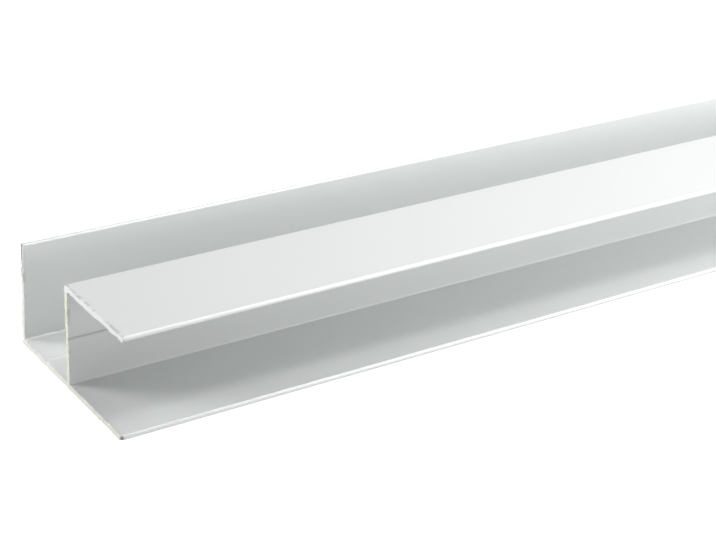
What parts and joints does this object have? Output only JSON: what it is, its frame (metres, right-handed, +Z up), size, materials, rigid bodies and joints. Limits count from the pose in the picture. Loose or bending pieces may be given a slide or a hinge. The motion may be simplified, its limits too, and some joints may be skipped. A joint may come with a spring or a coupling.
{
  "type": "aluminium extrusion profile",
  "caption": "Long aluminium extrusion with an upward channel beside a sideways channel on a common base plate, for joining the edges of boards at a right angle.",
  "frame": {"origin": "centre of the base plate's underside, at the middle of the bar's length", "axes": "+X along the bar, +Y towards the back wall of the upward channel, +Z up from the base plate"},
  "size_m": [0.5, 0.041, 0.02],
  "materials": {
    "anodised_aluminium": "satin natural anodised, with fine lengthwise die lines and bare sawn ends"
  },
  "bodies": {
    "root": {"corner_profile": "anodised_aluminium"}
  },
  "joints": []
}
